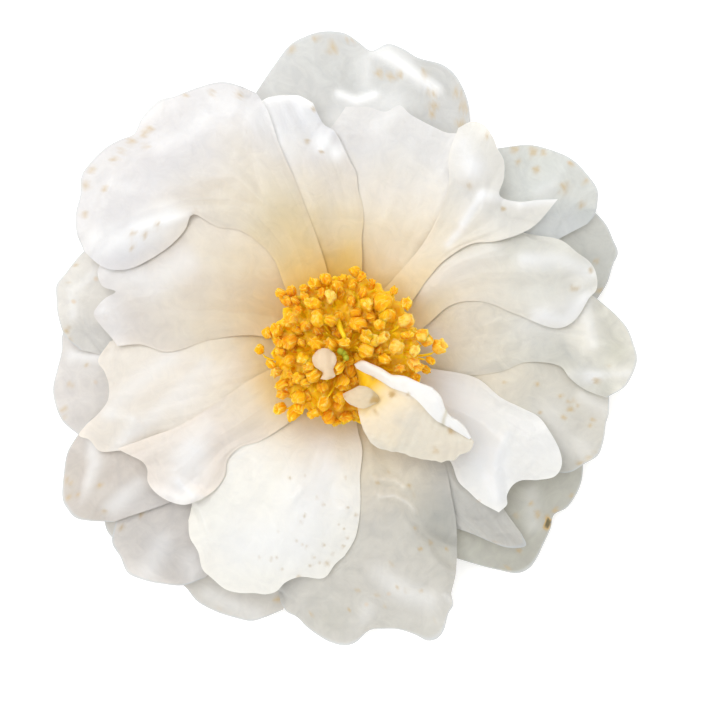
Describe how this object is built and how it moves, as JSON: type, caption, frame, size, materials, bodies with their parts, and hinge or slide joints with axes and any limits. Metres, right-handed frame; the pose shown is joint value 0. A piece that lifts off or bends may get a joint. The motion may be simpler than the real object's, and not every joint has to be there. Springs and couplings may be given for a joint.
{
  "type": "cut camellia bloom",
  "caption": "White semi-double camellia bloom, cut and lying face up: tiers of broad petals round a brush of golden stamens, with calyx and a short stalk stub.",
  "frame": {"origin": "centre of the bloom's outline in plan, at the level it lies on", "axes": "+Z out of the open face of the bloom, along its axis; +Y towards the top petal; +X to its right, seen from above"},
  "size_m": [0.1, 0.1052, 0.0289],
  "materials": {
    "outer_petals": "cool white, satin, thin and slightly translucent, with tan specks near the rims",
    "inner_petals": "warm white, satin, cream towards the foot, with tan specks",
    "calyx": "matt green with a brown margin and fine silky hairs",
    "receptacle": "matt green, pale where the stalk is cut",
    "filaments": "waxy pale yellow",
    "anthers": "orange yellow, dusted with pollen",
    "pistil": "waxy yellow green",
    "petaloids": "bright white, satin, with a pale yellow foot and brown spots"
  },
  "bodies": {
    "root": {"anther_mass": "anthers", "folded_petaloid": "petaloids", "inner_petal_1": "inner_petals", "inner_petal_2": "inner_petals", "inner_petal_3": "inner_petals", "inner_petal_4": "inner_petals", "inner_petal_5": "inner_petals", "inner_petal_6": "inner_petals", "inner_petal_7": "inner_petals", "inner_petal_8": "inner_petals", "inner_petal_9": "inner_petals", "inner_petal_10": "inner_petals", "outer_petal_1": "outer_petals", "outer_petal_2": "outer_petals", "outer_petal_3": "outer_petals", "outer_petal_4": "outer_petals", "outer_petal_5": "outer_petals", "outer_petal_6": "outer_petals", "outer_petal_7": "outer_petals", "outer_petal_8": "outer_petals", "outer_petal_9": "outer_petals", "outer_petal_10": "outer_petals", "outer_petal_11": "outer_petals", "outer_petal_12": "outer_petals", "outer_petal_13": "outer_petals", "outer_petal_14": "outer_petals", "pistil": "pistil", "receptacle": "receptacle", "sepal_1": "calyx", "sepal_2": "calyx", "sepal_3": "calyx", "sepal_4": "calyx", "sepal_5": "calyx", "sepal_6": "calyx", "small_petaloid_1": "petaloids", "small_petaloid_2": "petaloids", "stamen_tube": "filaments"}
  },
  "joints": []
}
